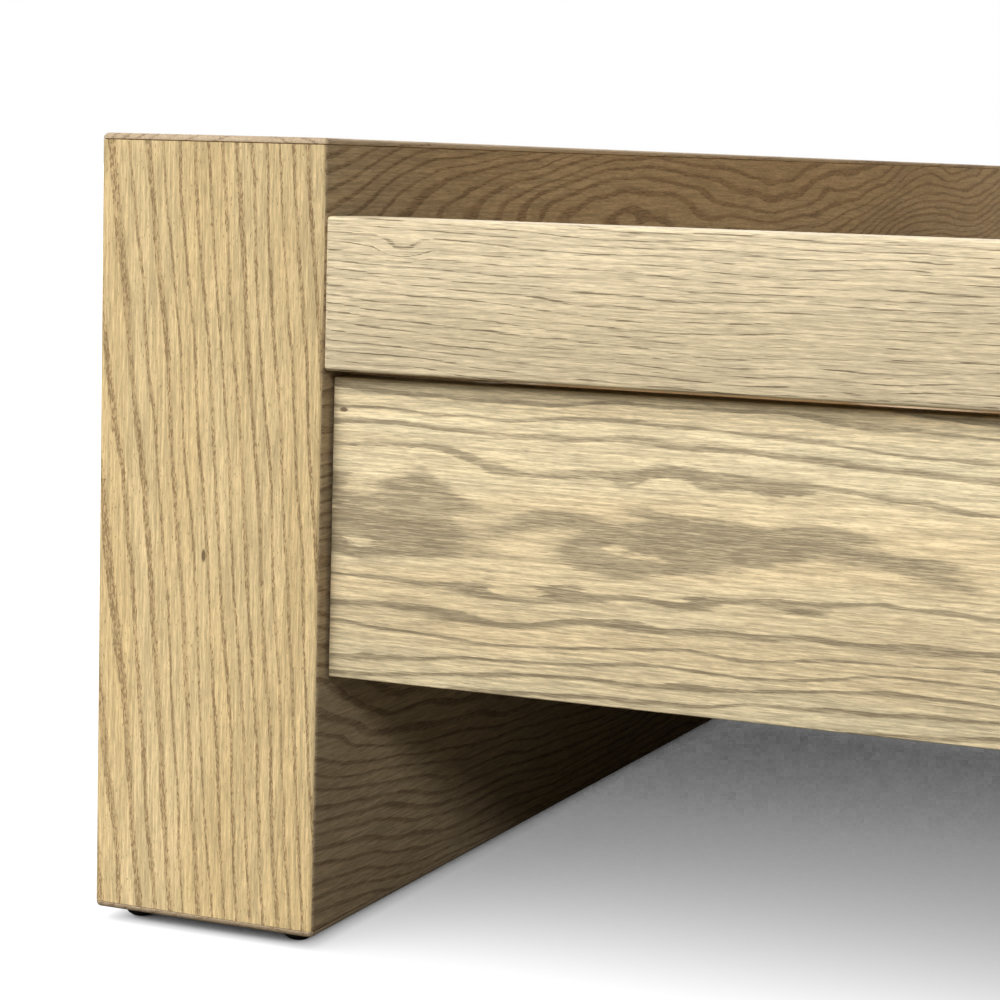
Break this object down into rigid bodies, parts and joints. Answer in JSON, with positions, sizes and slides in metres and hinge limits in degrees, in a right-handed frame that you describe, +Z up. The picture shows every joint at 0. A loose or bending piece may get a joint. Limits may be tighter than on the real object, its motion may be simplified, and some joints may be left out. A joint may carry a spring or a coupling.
{
  "type": "platform bed",
  "caption": "Low oak platform bed with thick box-built foot and head slabs, a slatted deck between side rails, and handleless storage drawers on ball-bearing runners below the rails.",
  "frame": {"origin": "on the floor, under the middle of the bed (the bottom centre of the bounding box)", "axes": "+X to the right-hand long side seen from the foot, +Y from the foot slab to the head slab, +Z up from the floor"},
  "size_m": [1.6, 2.272, 0.965],
  "materials": {
    "oak": "matt oiled, straight and cathedral grain",
    "pine": "planed, unfinished",
    "birch_plywood": "sanded, clear matt lacquer",
    "zinc_steel": "bright zinc plated",
    "brass": "machined",
    "black_nylon": "moulded, satin"
  },
  "bodies": {
    "bed_frame": {"foot_outer_panel": "oak", "foot_inner_panel": "oak", "foot_end_right": "oak", "foot_end_left": "oak", "foot_top_cap": "oak", "foot_bottom_cap": "oak", "foot_core": "pine", "head_outer_panel": "oak", "head_inner_panel": "oak", "head_end_right": "oak", "head_end_left": "oak", "head_top_cap": "oak", "head_bottom_cap": "oak", "head_core": "pine", "floor_glides": "black_nylon", "right_rail": "oak", "right_ledger": "pine", "left_rail": "oak", "left_ledger": "pine", "corner_brackets": "zinc_steel", "slab_bolts": "zinc_steel", "threaded_inserts": "brass", "bracket_screws": "zinc_steel", "slats": "pine", "deck_screws": "zinc_steel", "centre_beam": "pine", "beam_hangers": "zinc_steel", "centre_legs": "pine", "divider": "birch_plywood", "fixed_runners": "zinc_steel"},
    "right_foot_drawer": {"right_foot_front": "oak", "right_foot_back": "birch_plywood", "right_foot_foot_side": "birch_plywood", "right_foot_head_side": "birch_plywood", "right_foot_bottom": "birch_plywood", "right_foot_drawer_runners": "zinc_steel"},
    "right_foot_mid_runners": {"right_foot_mid_runners": "zinc_steel"},
    "right_head_drawer": {"right_head_front": "oak", "right_head_back": "birch_plywood", "right_head_foot_side": "birch_plywood", "right_head_head_side": "birch_plywood", "right_head_bottom": "birch_plywood", "right_head_drawer_runners": "zinc_steel"},
    "right_head_mid_runners": {"right_head_mid_runners": "zinc_steel"},
    "left_foot_drawer": {"left_foot_front": "oak", "left_foot_back": "birch_plywood", "left_foot_foot_side": "birch_plywood", "left_foot_head_side": "birch_plywood", "left_foot_bottom": "birch_plywood", "left_foot_drawer_runners": "zinc_steel"},
    "left_foot_mid_runners": {"left_foot_mid_runners": "zinc_steel"},
    "left_head_drawer": {"left_head_front": "oak", "left_head_back": "birch_plywood", "left_head_foot_side": "birch_plywood", "left_head_head_side": "birch_plywood", "left_head_bottom": "birch_plywood", "left_head_drawer_runners": "zinc_steel"},
    "left_head_mid_runners": {"left_head_mid_runners": "zinc_steel"}
  },
  "joints": [
    {"name": "right_foot_drawer_slide", "type": "slide", "parent": "bed_frame", "child": "right_foot_drawer", "axis": [1, 0, 0], "range_m": [0, 0.6]},
    {"name": "right_foot_mid_runner_slide", "type": "slide", "parent": "bed_frame", "child": "right_foot_mid_runners", "axis": [1, 0, 0], "range_m": [0, 0.3]},
    {"name": "right_head_drawer_slide", "type": "slide", "parent": "bed_frame", "child": "right_head_drawer", "axis": [1, 0, 0], "range_m": [0, 0.6]},
    {"name": "right_head_mid_runner_slide", "type": "slide", "parent": "bed_frame", "child": "right_head_mid_runners", "axis": [1, 0, 0], "range_m": [0, 0.3]},
    {"name": "left_foot_drawer_slide", "type": "slide", "parent": "bed_frame", "child": "left_foot_drawer", "axis": [-1, 0, 0], "range_m": [0, 0.6]},
    {"name": "left_foot_mid_runner_slide", "type": "slide", "parent": "bed_frame", "child": "left_foot_mid_runners", "axis": [-1, 0, 0], "range_m": [0, 0.3]},
    {"name": "left_head_drawer_slide", "type": "slide", "parent": "bed_frame", "child": "left_head_drawer", "axis": [-1, 0, 0], "range_m": [0, 0.6]},
    {"name": "left_head_mid_runner_slide", "type": "slide", "parent": "bed_frame", "child": "left_head_mid_runners", "axis": [-1, 0, 0], "range_m": [0, 0.3]}
  ],
  "couplings": [
    {"joint": "right_foot_mid_runner_slide", "follows": "right_foot_drawer_slide", "ratio": 0.5},
    {"joint": "right_head_mid_runner_slide", "follows": "right_head_drawer_slide", "ratio": 0.5},
    {"joint": "left_foot_mid_runner_slide", "follows": "left_foot_drawer_slide", "ratio": 0.5},
    {"joint": "left_head_mid_runner_slide", "follows": "left_head_drawer_slide", "ratio": 0.5}
  ]
}
